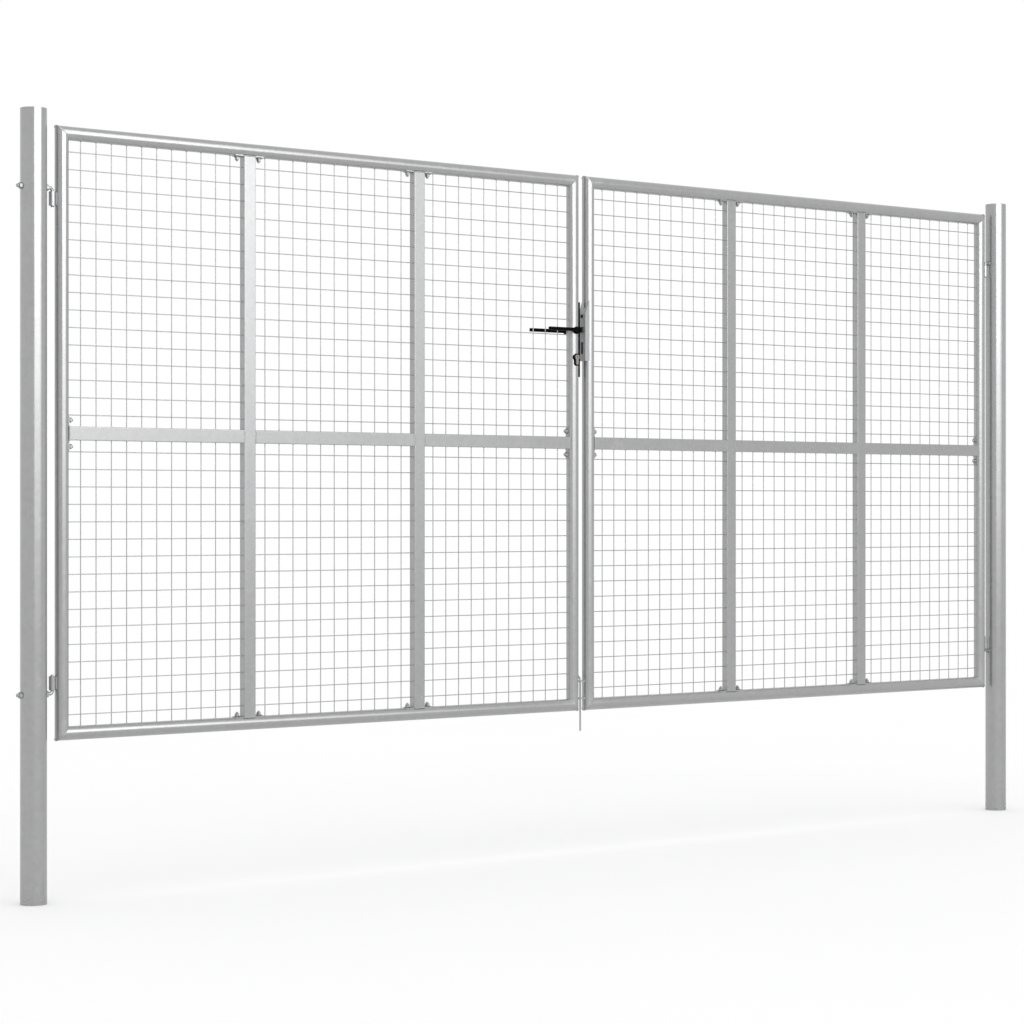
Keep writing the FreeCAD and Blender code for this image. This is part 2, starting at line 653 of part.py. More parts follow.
def cut_stile_for_lock(stile):
    """The meeting stile's slot for the case, and its holes for spindle, cylinder and screws."""
    stile = stile.cut(block(MEETING_X, FOREND_FACE, -CASE_THICK / 2 - SLIDE_PLAY, CASE_THICK / 2 + SLIDE_PLAY,
                            CASE_LOW - SLIDE_PLAY, CASE_TOP + SLIDE_PLAY))
    through = TUBE_OD
    stile = stile.cut(rod(SPINDLE_SQUARE, Vector(MEETING_X, -through, SPINDLE_Z),
                          Vector(MEETING_X, through, SPINDLE_Z)))
    stile = stile.cut(profile_cylinder(-through, through, 1.0))
    return stile.cut(lock_screw_room())


# ---------------------------------------------------------------- keeper and drop bolt (right leaf)
def keeper_screw_places():
    """One screw under the dead bolt's pocket, one between the two pockets."""
    face = -MEETING_EDGE - KEEPER_PROUD
    low = SPINDLE_Z - KEEPER_BOTTOM_DROP
    return [Vector(face, 0, z) for z in (low + SCREW_INSET, SPINDLE_Z - KEEPER_SCREW_DROP)]


def keeper_screw_room():
    return Part.makeCompound([screw_blank(at, EAST, SCREW_LENGTH) for at in keeper_screw_places()])


def make_keeper_screws():
    return [driven(screw_blank(at, EAST, SCREW_LENGTH), at, EAST) for at in keeper_screw_places()]


def make_keeper(stile_hull):
    """A channel on the right meeting stile: two pockets, a slot above them and a ramp on top."""
    face = -MEETING_EDGE - KEEPER_PROUD
    low = SPINDLE_Z - KEEPER_BOTTOM_DROP
    flat_top = low + KEEPER_FLAT
    tip = flat_top + KEEPER_RAMP
    back = -MEETING_X
    ramp_x = back - math.sqrt(TUBE_R ** 2 - (KEEPER_WIDTH / 2) ** 2) - KEEPER_EDGE

    def slab(inset, bottom):
        half = KEEPER_WIDTH / 2 - inset
        ring = [Vector(x, -half, z) for x, z in (
            (face + inset, bottom), (back, bottom), (back, tip), (ramp_x + inset, tip),
            (face + inset, flat_top))]
        return Part.Face(Part.makePolygon(ring + ring[:1])).extrude(Vector(0, 2 * half, 0))

    keeper = slab(0, low).cut(slab(KEEPER_WALL, low + KEEPER_WALL)).cut(stile_hull)
    keeper = keeper.cut(latch_window(face - 1, -MEETING_EDGE, POCKET_PLAY))
    keeper = keeper.cut(bolt_window(face - 1, -MEETING_EDGE, POCKET_PLAY))
    slot_z = flat_top - KEEPER_SLOT_DOWN
    keeper = keeper.cut(block(face, back, -KEEPER_SLOT_W / 2, KEEPER_SLOT_W / 2,
                              slot_z - KEEPER_SLOT_H / 2, slot_z + KEEPER_SLOT_H / 2))
    return keeper.cut(keeper_screw_room())


def make_guides():
    """Two bored lugs on the right meeting stile that carry the drop bolt."""
    guides = []
    for height in GUIDE_HEIGHTS:
        z = LEAF_LOW + height
        lug = block(-GUIDE_BEYOND - DROP_D / 2, -MEETING_X, -GUIDE_WIDTH / 2, GUIDE_WIDTH / 2,
                    z - GUIDE_T / 2, z + GUIDE_T / 2)
        lug = lug.cut(upright(-MEETING_X, TUBE_R, z - GUIDE_T, z + GUIDE_T))
        near = [e for e in lug.Edges if abs(e.tangentAt(0).dot(UP)) > 0.9 and e.BoundBox.XMax < 0]
        lug = lug.makeFillet(GUIDE_WIDTH * 0.4, near)
        guides.append(lug.cut(upright(0, DROP_D / 2 + DROP_RUNNING, z - GUIDE_T, z + GUIDE_T)))
    return guides


def make_drop_bolt():
    """A round rod in the gap between the leaves, its top bent up and back as a handle."""
    radius = DROP_D / 2
    tip_z = LEAF_LOW - DROP_BELOW_LEAF
    bend_z = LEAF_LOW + GUIDE_HEIGHTS[1] + GUIDE_T / 2 + 0.5
    straight = upright(0, radius, tip_z + radius * 0.6, bend_z)
    point = Part.makeCone(radius * 0.5, radius, radius * 0.6, Vector(0, 0, tip_z), UP)
    centre = Vector(0, DROP_BEND_R, bend_z)
    turn = elbow(radius, Vector(0, 0, bend_z), centre, WEST, DROP_LEAN)
    lean = math.radians(DROP_LEAN)
    joint = centre + Vector(0, -DROP_BEND_R * math.cos(lean), DROP_BEND_R * math.sin(lean))
    way = Vector(0, math.sin(lean), math.cos(lean))
    handle = rod(radius, joint, joint + way * DROP_HANDLE)
    return straight.multiFuse([point, turn, handle]).removeSplitter()


# ---------------------------------------------------------------- assembly
def save(name, *solids):
    """Write one node, as a single solid or as a group of separate solids."""
    pieces = [piece for solid in solids for piece in solid.Solids]
    shape = pieces[0] if len(pieces) == 1 else Part.makeCompound(pieces)
    if not shape.isValid():
        raise ValueError(name + " is not a valid shape")
    shape.exportStep(os.path.join("parts", name + ".step"))
    print(name, len(pieces), "solids", round(shape.Volume), "mm3")


def save_pair(name, solids):
    """Write a left-leaf node and its mirrored right-leaf twin."""
    save("left_" + name, *solids)
    save("right_" + name, *[mirrored(solid) for solid in solids])


def build_posts():
    save_pair("post", [make_post()])
    cap = make_cap()
    save("post_caps", cap, mirrored(cap))
    for name, (bar_z, way) in pin_bar_zs().items():
        save_pair(name + "_hinge_pin", [make_hinge_pin(bar_z, way)])
    nuts = make_pin_nuts()
    save("hinge_pin_nuts", *nuts, *[mirrored(nut) for nut in nuts])


def build_leaves():
    studs = make_studs()
    tubes = make_frame_tubes(studs)
    for name in ("top_rail", "bottom_rail", "hinge_stile"):
        save_pair(name, [tubes[name]])
    save("left_meeting_stile", cut_stile_for_lock(tubes["meeting_stile"]))
    right_stile = mirrored(tubes["meeting_stile"]).cut(keeper_screw_room())
    save("right_meeting_stile", right_stile)
    mullions = make_mullions()
    save_pair("outer_mullion", mullions[:1])
    save_pair("inner_mullion", mullions[1:])
    save_pair("mid_rail", make_mid_rail())
    frame_hull = rail_hulls(TUBE_R).fuse(stile_hulls(TUBE_R))
    flip = Vector(0, 0, MID_Z)
    for place, panel in zip(("outer", "middle", "inner"), make_upper_meshes(frame_hull)):
        save_pair("upper_" + place + "_mesh", [panel])
        save_pair("lower_" + place + "_mesh", [panel.mirror(flip, UP)])
    save_pair("saddle_plates", make_saddles(studs))
    save_pair("frame_studs", studs)
    save_pair("frame_nuts", make_stud_nuts())
    save_pair("hinge_barrels", make_hinge_barrels(stile_hulls(TUBE_R)))


def build_lock():
    stile_hull = upright(MEETING_X, TUBE_R, BOTTOM_Z, TOP_Z)
    save("lock_case", make_case())
    save("lock_faceplate", make_forend(stile_hull))
    save("lock_screws", *make_lock_screws())
    save("lock_follower", make_follower())
    save("latch_bolt", make_latch())
    save("dead_bolt", make_dead_bolt())
    save("profile_cylinder", make_cylinder_body())
    save("cylinder_plug", make_plug())
    save("cylinder_rim", make_escutcheon(stile_hull))
    save("lever_roses", *make_roses(stile_hull))
    save("front_lever", make_lever(-1))
    save("rear_lever", make_lever(1))
    save("lever_spindle", spindle_bar(SPINDLE_HALF))


def build_right_fittings():
    stile_hull = upright(-MEETING_X, TUBE_R, BOTTOM_Z, TOP_Z)
    save("keeper", make_keeper(stile_hull))
    save("keeper_screws", *make_keeper_screws())
    save("drop_bolt_guides", *make_guides())
    save("drop_bolt", make_drop_bolt())


os.makedirs("parts", exist_ok=True)
build_posts()
build_leaves()
build_lock()
build_right_fittings()
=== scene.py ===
import math
import random

import bpy
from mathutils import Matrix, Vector


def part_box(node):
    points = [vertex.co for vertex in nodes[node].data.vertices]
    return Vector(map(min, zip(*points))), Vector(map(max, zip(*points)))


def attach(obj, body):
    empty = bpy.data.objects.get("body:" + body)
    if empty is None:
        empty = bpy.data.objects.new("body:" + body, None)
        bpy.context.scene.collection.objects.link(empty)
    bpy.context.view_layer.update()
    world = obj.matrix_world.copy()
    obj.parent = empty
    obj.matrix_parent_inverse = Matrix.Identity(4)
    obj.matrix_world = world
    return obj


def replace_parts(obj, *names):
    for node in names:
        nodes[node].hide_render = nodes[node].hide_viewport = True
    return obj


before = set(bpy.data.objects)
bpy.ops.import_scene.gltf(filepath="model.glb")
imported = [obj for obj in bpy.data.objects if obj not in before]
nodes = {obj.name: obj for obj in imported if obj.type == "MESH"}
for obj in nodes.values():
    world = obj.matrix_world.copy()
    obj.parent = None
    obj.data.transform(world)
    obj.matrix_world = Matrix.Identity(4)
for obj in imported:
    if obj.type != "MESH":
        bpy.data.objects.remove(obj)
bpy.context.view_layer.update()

MM = 0.001
UP, BACK, EAST = Vector((0, 0, 1)), Vector((0, 1, 0)), Vector((1, 0, 0))

# ---------------------------------------------------------------- camera
CAMERA_PLACE = (-5.621, -6.923, 1.1153)
CAMERA_TURN = -37.64
CAMERA_LENS = 95.75
CAMERA_SHIFT_Y = -0.0023

camera_data = bpy.data.cameras.new("camera")
camera_data.lens = CAMERA_LENS
camera_data.sensor_width = 36.0
camera_data.shift_y = CAMERA_SHIFT_Y
camera = bpy.data.objects.new("camera", camera_data)
camera.location = CAMERA_PLACE
camera.rotation_euler = (math.radians(90), 0, math.radians(CAMERA_TURN))
bpy.context.scene.collection.objects.link(camera)
bpy.context.scene.camera = camera
bpy.context.scene.view_settings.view_transform = "Standard"


# ---------------------------------------------------------------- places measured on the gate
def centre_of(node):
    low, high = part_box(node)
    return (low + high) / 2


hinge_x = abs(centre_of("left_hinge_stile").x)
stile_low, stile_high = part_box("left_meeting_stile")
tube_r = (stile_high.y - stile_low.y) / 2
meeting_x = abs(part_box("left_top_rail")[1].x - tube_r)
rail_z = [centre_of("left_bottom_rail").z, centre_of("left_top_rail").z]
post_x = abs(centre_of("left_post").x)
mid_z = centre_of("left_mid_rail").z
mullion_x = [abs(centre_of(f"left_{which}_mullion").x) for which in ("outer", "inner")]
LEAF_CORNERS = [(x, 0, z) for x in (hinge_x, meeting_x) for z in rail_z]


# ---------------------------------------------------------------- node helpers
class Nodes:
    """Short ways to add and join shader nodes in one material or world."""

    def __init__(self, tree):
        self.tree = tree

    def add(self, kind, **settings):
        node = self.tree.nodes.new(kind)
        for name, value in settings.items():
            setattr(node, name, value)
        return node

    def join(self, source, target):
        self.tree.links.new(source, target)

    def put(self, value, target):
        """Feeds a socket from another socket, or sets it to a plain value."""
        if isinstance(value, bpy.types.NodeSocket):
            self.join(value, target)
        else:
            target.default_value = value

    def math(self, operation, a, b=0.5, c=0.5, clamp=False):
        node = self.add("ShaderNodeMath", operation=operation, use_clamp=clamp)
        for value, socket in zip((a, b, c), node.inputs):
            self.put(value, socket)
        return node.outputs[0]

    def range(self, value, low, high, out_low=0.0, out_high=1.0, smooth=True):
        node = self.add("ShaderNodeMapRange", interpolation_type="SMOOTHSTEP" if smooth else "LINEAR")
        for k, v in enumerate((value, low, high, out_low, out_high)):
            self.put(v, node.inputs[k])
        return node.outputs[0]

    def stretch(self, vector, scale):
        node = self.add("ShaderNodeVectorMath", operation="MULTIPLY")
        self.join(vector, node.inputs[0])
        node.inputs[1].default_value = scale
        return node.outputs[0]

    def noise(self, vector, scale, detail=3.0, rough=0.5):
        node = self.add("ShaderNodeTexNoise")
        self.join(vector, node.inputs["Vector"])
        node.inputs["Scale"].default_value = scale
        node.inputs["Detail"].default_value = detail
        node.inputs["Roughness"].default_value = rough
        return node.outputs["Fac"]

    def mix(self, share, a, b):
        node = self.add("ShaderNodeMix", data_type="RGBA")
        self.put(share, node.inputs["Factor"])
        self.put(a, node.inputs[6])
        self.put(b, node.inputs[7])
        return node.outputs[2]

    def bump(self, height, depth, below=None):
        node = self.add("ShaderNodeBump")
        node.inputs["Distance"].default_value = depth
        node.inputs["Strength"].default_value = 1.0
        self.join(height, node.inputs["Height"])
        if below is not None:
            self.join(below, node.inputs["Normal"])
        return node.outputs["Normal"]


def new_material(name, metallic, specular=0.5):
    """An empty material with its shader: (helper, object coordinates, shader node, material)."""
    material = bpy.data.materials.new(name)
    material.use_nodes = True
    n = Nodes(material.node_tree)
    shader = material.node_tree.nodes["Principled BSDF"]
    shader.inputs["Metallic"].default_value = metallic
    shader.inputs["Specular IOR Level"].default_value = specular
    place = n.add("ShaderNodeTexCoord").outputs["Object"]
    return n, place, shader, material


def grey(value, warm=0.0):
    """A grey colour, a little red when warm is above 0 and a little blue below it."""
    return (value * (1 + warm), value, value * (1 - warm), 1.0)


def worn_edges(n, radius, noise):
    """1 on the outer corners, fading inwards, broken up by a noise."""
    bevel = n.add("ShaderNodeBevel", samples=4)
    bevel.inputs["Radius"].default_value = radius
    turned = n.add("ShaderNodeVectorMath", operation="DOT_PRODUCT")
    n.join(bevel.outputs[0], turned.inputs[0])
    n.join(n.add("ShaderNodeNewGeometry").outputs["Normal"], turned.inputs[1])
    bent = n.math("SUBTRACT", 1.0, turned.outputs["Value"])
    return n.math("MULTIPLY", n.range(bent, 0.02, 0.12), n.range(noise, 0.42, 0.62))


# ---------------------------------------------------------------- materials
def nearest_of(n, distances):
    """The smallest of several socket values."""
    least = distances[0]
    for distance in distances[1:]:
        least = n.math("MINIMUM", least, distance)
    return least


def galvanised(name, tone, rough, spangle_mm, mirror=0.5, seam=None, halo=False, feet=False):
    """Zinc-coated steel: spangled grains, dipping runs, dull patches and a fine grain. A seam is the
    weld line along a tube's back, a halo is the zinc spray round a welded corner, and feet are
    dusty near the ground."""
    n, place, shader, material = new_material(name, mirror, 0.3)
    spangle = spangle_mm * MM
    wander = n.add("ShaderNodeTexNoise")
    n.join(place, wander.inputs["Vector"])
    wander.inputs["Scale"].default_value = 0.35 / spangle
    pushed = n.add("ShaderNodeVectorMath", operation="MULTIPLY_ADD")
    n.join(wander.outputs["Color"], pushed.inputs[0])
    pushed.inputs[1].default_value = (spangle * 1.5,) * 3
    n.join(place, pushed.inputs[2])
    grains = n.add("ShaderNodeTexVoronoi", feature="F1")
    n.join(pushed.outputs[0], grains.inputs["Vector"])
    grains.inputs["Scale"].default_value = 1 / spangle
    split = n.add("ShaderNodeSeparateColor")
    n.join(grains.outputs["Color"], split.inputs[0])
    grain_tone, grain_rough = split.outputs[0], split.outputs[1]

    cloud = n.noise(place, 5.0, 4.0)
    runs = n.noise(n.stretch(place, (45, 45, 2.2)), 1.0, 4.0)
    fine = n.noise(place, 1400.0, 2.0)
    dull = n.range(n.noise(place, 14.0, 5.0, 0.6), 0.56, 0.72)

    level = n.math("MULTIPLY_ADD", grain_tone, 0.06, -0.03)
    level = n.math("ADD", level, n.math("MULTIPLY_ADD", cloud, 0.08, -0.04))
    level = n.math("ADD", level, n.math("MULTIPLY_ADD", runs, 0.07, -0.035))
    level = n.math("ADD", level, n.math("MULTIPLY_ADD", fine, 0.06, -0.03))
    level = n.math("MULTIPLY_ADD", level, tone, tone)
    gloss = n.math("MULTIPLY_ADD", grain_rough, 0.06, rough - 0.03)
    gloss = n.math("MULTIPLY_ADD", dull, 0.07, gloss)
    height = n.math("MULTIPLY_ADD", runs, 0.7, n.math("MULTIPLY", cloud, 0.5))

    split_place = n.add("ShaderNodeSeparateXYZ")
    n.join(place, split_place.inputs[0])
    x, y, z = split_place.outputs
    if seam:
        axis, centres = seam
        along = n.math("ABSOLUTE", x) if axis == "x" else z
        away = nearest_of(n, [n.math("ABSOLUTE", n.math("SUBTRACT", along, centre)) for centre in centres])
        line = n.math("MULTIPLY", n.range(away, 0.0006, 0.0022, 1.0, 0.0), n.range(y, 0.0, 0.001))
        height = n.math("ADD", height, line)
        gloss = n.math("MULTIPLY_ADD", line, 0.12, gloss)
        level = n.math("MULTIPLY", level, n.math("MULTIPLY_ADD", line, -0.10, 1.0))
    if halo:
        mirrored = n.add("ShaderNodeCombineXYZ")
        n.join(n.math("ABSOLUTE", x), mirrored.inputs[0])
        n.join(z, mirrored.inputs[2])
        gaps = []
        for corner in LEAF_CORNERS:
            gap = n.add("ShaderNodeVectorMath", operation="DISTANCE")
            n.join(mirrored.outputs[0], gap.inputs[0])
            gap.inputs[1].default_value = corner
            gaps.append(gap.outputs["Value"])
        edge = n.math("MULTIPLY_ADD", n.noise(place, 60.0, 4.0), 0.03, nearest_of(n, gaps))
        sprayed = n.range(edge, 0.045, 0.072, 1.0, 0.0)
        gloss = n.math("MULTIPLY_ADD", sprayed, 0.05, gloss)
        level = n.math("MULTIPLY", level, n.math("MULTIPLY_ADD", sprayed, 0.03, 1.0))
    if feet:
        soil_edge = n.math("MULTIPLY_ADD", n.noise(place, 22.0, 5.0), 0.10, z)
        dusty = n.range(soil_edge, 0.05, 0.16, 0.35, 0.0)
        gloss = n.math("MULTIPLY_ADD", dusty, 0.3, gloss)
        level = n.math("MULTIPLY", level, n.math("MULTIPLY_ADD", dusty, -0.15, 1.0))

    colour = n.add("ShaderNodeCombineColor")
    n.join(level, colour.inputs[0])
    n.join(n.math("MULTIPLY", level, 1.004), colour.inputs[1])
    n.join(n.math("MULTIPLY", level, 1.014), colour.inputs[2])
    n.join(colour.outputs[0], shader.inputs["Base Color"])
    n.join(n.math("MAXIMUM", gloss, 0.05), shader.inputs["Roughness"])
    relief = n.bump(height, 0.00012)
    relief = n.bump(fine, 0.000012, relief)
    n.join(relief, shader.inputs["Normal"])
    return material


def plated(name, tone, rough, warm=0.0, lines=None):
    """Bright zinc or nickel plating: small tone clouds, hairline marks and rubbed corners."""
    n, place, shader, material = new_material(name, 0.5)
    cloud = n.noise(place, 90.0, 4.0)
    marks = n.noise(n.stretch(place, lines or (900, 900, 900)), 1.0, 3.0)
    spots = n.range(n.noise(place, 350.0, 4.0, 0.65), 0.60, 0.70)
    level = n.math("MULTIPLY_ADD", cloud, 0.22, 0.84)
    level = n.math("MULTIPLY_ADD", marks, 0.10, level)
    level = n.math("MULTIPLY_ADD", spots, -0.18, level)
    level = n.math("MULTIPLY", level, tone)
    worn = worn_edges(n, 0.0006, n.noise(place, 420.0, 3.0))
    level = n.math("MULTIPLY_ADD", worn, 0.15, level)
    colour = n.add("ShaderNodeCombineColor")
    n.join(n.math("MULTIPLY", level, 1 + warm), colour.inputs[0])
    n.join(level, colour.inputs[1])
    n.join(n.math("MULTIPLY", level, 1 - warm), colour.inputs[2])
    n.join(colour.outputs[0], shader.inputs["Base Color"])
    gloss = n.math("MULTIPLY_ADD", marks, 0.14, rough - 0.07)
    gloss = n.math("MULTIPLY_ADD", spots, 0.18, gloss)
    n.join(gloss, shader.inputs["Roughness"])
    relief = n.bump(marks, 0.00003)
    n.join(n.bump(cloud, 0.00006, relief), shader.inputs["Normal"])
    return material


def black_coat(name):
    """Satin black powder coat over cast zinc: orange peel, finger-dulled patches, rubbed corners."""
    n, place, shader, material = new_material(name, 0.0, 0.02)
    peel = n.noise(place, 1100.0, 2.0)
    cloud = n.noise(place, 55.0, 4.0)
    dust = n.range(n.noise(place, 2600.0, 2.0, 0.7), 0.63, 0.72)
    worn = worn_edges(n, 0.0007, n.noise(place, 500.0, 4.0))
    base = n.mix(cloud, grey(0.0006), grey(0.0024, -0.03))
    base = n.mix(n.math("MULTIPLY", dust, 0.25), base, grey(0.05))
    base = n.mix(n.math("MULTIPLY", worn, 0.45), base, grey(0.10, 0.02))
    n.join(base, shader.inputs["Base Color"])
    gloss = n.math("MULTIPLY_ADD", cloud, 0.24, 0.26)
    n.join(n.math("MULTIPLY_ADD", peel, 0.08, gloss), shader.inputs["Roughness"])
    n.join(n.bump(peel, 0.00006), shader.inputs["Normal"])
    return material


def lock_steel(name):
    """Bare sheet steel of the lock: rolled lines, oil-darkened clouds, a few scuffs."""
    n, place, shader, material = new_material(name, 1.0)
    rolled = n.noise(n.stretch(place, (60, 60, 2600)), 1.0, 3.0)
    cloud = n.noise(place, 45.0, 4.0)
    scuff = n.range(n.noise(n.stretch(place, (1500, 300, 200)), 1.0, 3.0), 0.62, 0.70)
    base = n.mix(cloud, grey(0.22, 0.01), grey(0.40))
    base = n.mix(n.math("MULTIPLY", scuff, 0.5), base, grey(0.6))
    n.join(base, shader.inputs["Base Color"])
    n.join(n.math("MULTIPLY_ADD", rolled, 0.22, 0.24), shader.inputs["Roughness"])
    n.join(n.bump(rolled, 0.00002), shader.inputs["Normal"])
    return material


def weld_zinc(name):
    """Dressed weld metal under zinc spray: lighter and duller than the tube, with tiny pits."""
    n, place, shader, material = new_material(name, 0.25, 0.2)
    cloud = n.noise(place, 120.0, 4.0)
    pits = n.range(n.noise(place, 900.0, 2.0), 0.60, 0.74)
    base = n.mix(cloud, grey(0.31), grey(0.39))
    base = n.mix(n.math("MULTIPLY", pits, 0.5), base, grey(0.26))
    n.join(base, shader.inputs["Base Color"])
    n.join(n.math("MULTIPLY_ADD", cloud, 0.22, 0.32), shader.inputs["Roughness"])
    n.join(n.bump(n.math("SUBTRACT", cloud, pits), 0.0001), shader.inputs["Normal"])
    return material


POST_ZINC = galvanised("post_zinc", 0.355, 0.17, 14, seam=("x", [post_x]), feet=True)
CAP_ZINC = galvanised("cap_zinc", 0.36, 0.26, 9)
STILE_ZINC = galvanised("stile_zinc", 0.36, 0.17, 11, seam=("x", [hinge_x, meeting_x]), halo=True)
RAIL_ZINC = galvanised("rail_zinc", 0.355, 0.17, 11, seam=("z", rail_z), halo=True)
KEEPER_ZINC = galvanised("keeper_zinc", 0.38, 0.36, 8, mirror=0.2)
BAR_ZINC = galvanised("bar_zinc", 0.355, 0.21, 10)
WIRE_ZINC = galvanised("wire_zinc", 0.34, 0.30, 5)
HARDWARE = plated("hardware_zinc", 0.32, 0.36, warm=-0.01)
NICKEL = plated("nickel", 0.21, 0.30, warm=0.03, lines=(300, 3000, 3000))
BLACK = black_coat("black_coat")
STEEL = lock_steel("lock_steel")
WELD = weld_zinc("weld_zinc")

FINISHES = [
    (POST_ZINC, ["left_post", "right_post"]),
    (CAP_ZINC, ["post_caps"]),
    (STILE_ZINC, ["hinge_stile", "meeting_stile"]),
    (RAIL_ZINC, ["top_rail", "bottom_rail"]),
    (BAR_ZINC, ["outer_mullion", "inner_mullion", "mid_rail", "saddle_plates", "hinge_barrels"]),
    (KEEPER_ZINC, ["keeper", "drop_bolt_guides"]),
    (WIRE_ZINC, ["_mesh"]),
    (HARDWARE, ["hinge_pin", "hinge_pin_nuts", "frame_studs", "frame_nuts", "keeper_screws", "drop_bolt"]),
    (NICKEL, ["profile_cylinder", "cylinder_plug"]),
    (BLACK, ["lock_faceplate", "lock_screws", "latch_bolt", "cylinder_rim", "lever_roses",
             "front_lever", "rear_lever"]),
    (STEEL, ["lock_case", "lock_follower", "dead_bolt", "lever_spindle"]),
]


def finish_of(node):
    """The material of a node, found by how its name ends."""
    for material, endings in FINISHES:
        if node.endswith(tuple(endings)):
            return material
    raise ValueError(node)


for node, obj in nodes.items():
    obj.data.materials.clear()
    obj.data.materials.append(finish_of(node))


# ---------------------------------------------------------------- mesh helpers
class Pile:
    """Vertices and faces of many small forms, gathered into one piece."""

    def __init__(self):
        self.points = []
        self.faces = []

    def tube(self, rings, closed=False, capped=False):
        """Joins rings of points, all of one count, into a skin. A closed run joins its last ring to
        its first, and a capped one has a face at each end."""
        start, count = len(self.points), len(rings[0])
        for ring in rings:
            self.points.extend(ring)
        steps = len(rings) if closed else len(rings) - 1
        for i in range(steps):
            here, there = start + i * count, start + ((i + 1) % len(rings)) * count
            for k in range(count):
                m = (k + 1) % count
                self.faces.append((here + k, here + m, there + m, there + k))
        if capped:
            self.faces.append(tuple(start + k for k in reversed(range(count))))
            last = start + (len(rings) - 1) * count
            self.faces.append(tuple(last + k for k in range(count)))

    def piece(self, name, material, body):
        """Makes the pile an object of its own that moves with a body."""
        mesh = bpy.data.meshes.new(name)
        mesh.from_pydata([tuple(p) for p in self.points], [], self.faces)
        mesh.validate()
        mesh.materials.append(material)
        mesh.shade_smooth()
        obj = bpy.data.objects.new(name, mesh)
        bpy.context.scene.collection.objects.link(obj)
        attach(obj, body)
        return obj


def bead(pile, path, normals, half_width, rise, closed, seed):
    """A lumpy weld bead along a path on a surface, rippled like laid-down metal."""
    rng = random.Random(seed)
    phase = rng.random() * 6.28
    count, sides, ripple = len(path), 8, 0.7 * MM
    rings, run = [], 0.0
    for i, (point, normal) in enumerate(zip(path, normals)):
        before = path[i - 1] if (closed or i) else point
        after = path[(i + 1) % count] if (closed or i < count - 1) else point
        way = (after - before).normalized()
        side = way.cross(normal).normalized()
        run += (point - path[i - 1]).length if i else 0.0
        swell = 1 + 0.16 * math.sin(run / ripple + phase) + rng.uniform(-0.10, 0.10)
        if not closed:
            swell *= min(1.0, 0.35 + 0.65 * min(i, count - 1 - i) / 3)
        ring = []
        for k in range(sides):
            a = 2 * math.pi * k / sides
            ring.append(point + side * (half_width * swell * math.cos(a))
                        + normal * (rise * swell * math.sin(a)))
        rings.append(ring)
    pile.tube(rings, closed=closed, capped=not closed)


def blob(pile, centre, size, rng):
    """A small rounded drop, flattened and turned a little at random."""
    turn = rng.random() * 6.28
    swell = rng.uniform(0.88, 1.15)
    bands, sides = 5, 7
    rings = []
    for j in range(1, bands):
        lat = -math.pi / 2 + j * math.pi / bands
        ring = []
        for k in range(sides):
            a = turn + k * 2 * math.pi / sides
            ring.append(centre + Vector((size[0] * math.cos(lat) * math.cos(a),
                                         size[1] * math.sin(lat),
                                         size[2] * math.cos(lat) * math.sin(a))) * swell)
        rings.append(ring)
    pile.tube(rings, capped=True)


def helix_rod(pile, path, radius, threads, pitch, depth, count=14):
    """A round bar along a path of closely spaced points. Its surface is threaded over the given
    stretches of its length, each a (start, stop) pair."""
    way = (path[1] - path[0]).normalized()
    side = way.cross(BACK if abs(way.dot(BACK)) < 0.9 else EAST).normalized()
    rings, run, last = [], 0.0, len(path) - 1
    for i, point in enumerate(path):
        ahead = (path[min(i + 1, last)] - path[max(i - 1, 0)]).normalized()
        side = (side - ahead * side.dot(ahead)).normalized()
        other = ahead.cross(side)
        run += (point - path[i - 1]).length if i else 0.0
        cut = any(a <= run <= b for a, b in threads)
        ring = []
        for k in range(count):
            a = 2 * math.pi * k / count
            r = radius
            if cut:
                wave = abs(((run / pitch - k / count) % 1.0) * 2 - 1)
                r -= depth * min(1.0, wave * 1.15)
            if i in (0, last):
                r -= depth
            ring.append(point + side * (r * math.cos(a)) + other * (r * math.sin(a)))
        rings.append(ring)
    pile.tube(rings, capped=True)


def run_of_points(start, stop, step):
    """Points along a straight line, both ends included, about a step apart."""
    count = max(2, int(round((stop - start).length / step)))
    return [start.lerp(stop, i / count) for i in range(count + 1)]


# ---------------------------------------------------------------- threaded hinge pins
PIN_R, PIN_BEND, PIN_PITCH, PIN_THREAD_DEEP = 5 * MM, 10 * MM, 1.5 * MM, 0.65 * MM
PIN_BEND_STEPS = 12


def make_pin(sign, which):
    """One L-shaped hinge pin: threaded level bar, smooth bend and smooth upright end."""
    node = f"{'left' if sign < 0 else 'right'}_{which}_hinge_pin"
    low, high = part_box(node)
    way = -1 if which == "top" else 1
    bar_z = (high.z if way < 0 else low.z) + way * PIN_R
    end_z = low.z if way < 0 else high.z
    outer_x = max(abs(low.x), abs(high.x))
    axis_x = min(abs(low.x), abs(high.x)) + PIN_R
    bend_x = axis_x + PIN_BEND
    step = PIN_PITCH / 6
    path = run_of_points(Vector((sign * outer_x, 0, bar_z)), Vector((sign * bend_x, 0, bar_z)), step)
    for i in range(1, PIN_BEND_STEPS + 1):
        a = math.radians(90 * i / PIN_BEND_STEPS)
        path.append(Vector((sign * (bend_x - PIN_BEND * math.sin(a)), 0,
                            bar_z + way * PIN_BEND * (1 - math.cos(a)))))
    path += run_of_points(Vector((sign * axis_x, 0, bar_z + way * PIN_BEND)),
                          Vector((sign * axis_x, 0, end_z)), 2 * MM)[1:]
    pile = Pile()
    threaded = (0.0, outer_x - bend_x - 3 * MM)
    helix_rod(pile, path, PIN_R - 0.02 * MM, [threaded], PIN_PITCH, PIN_THREAD_DEEP)
    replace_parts(pile.piece(f"{node}_threaded", HARDWARE, "posts"), node)


for sign in (-1, 1):
    for which in ("top", "bottom"):
        make_pin(sign, which)


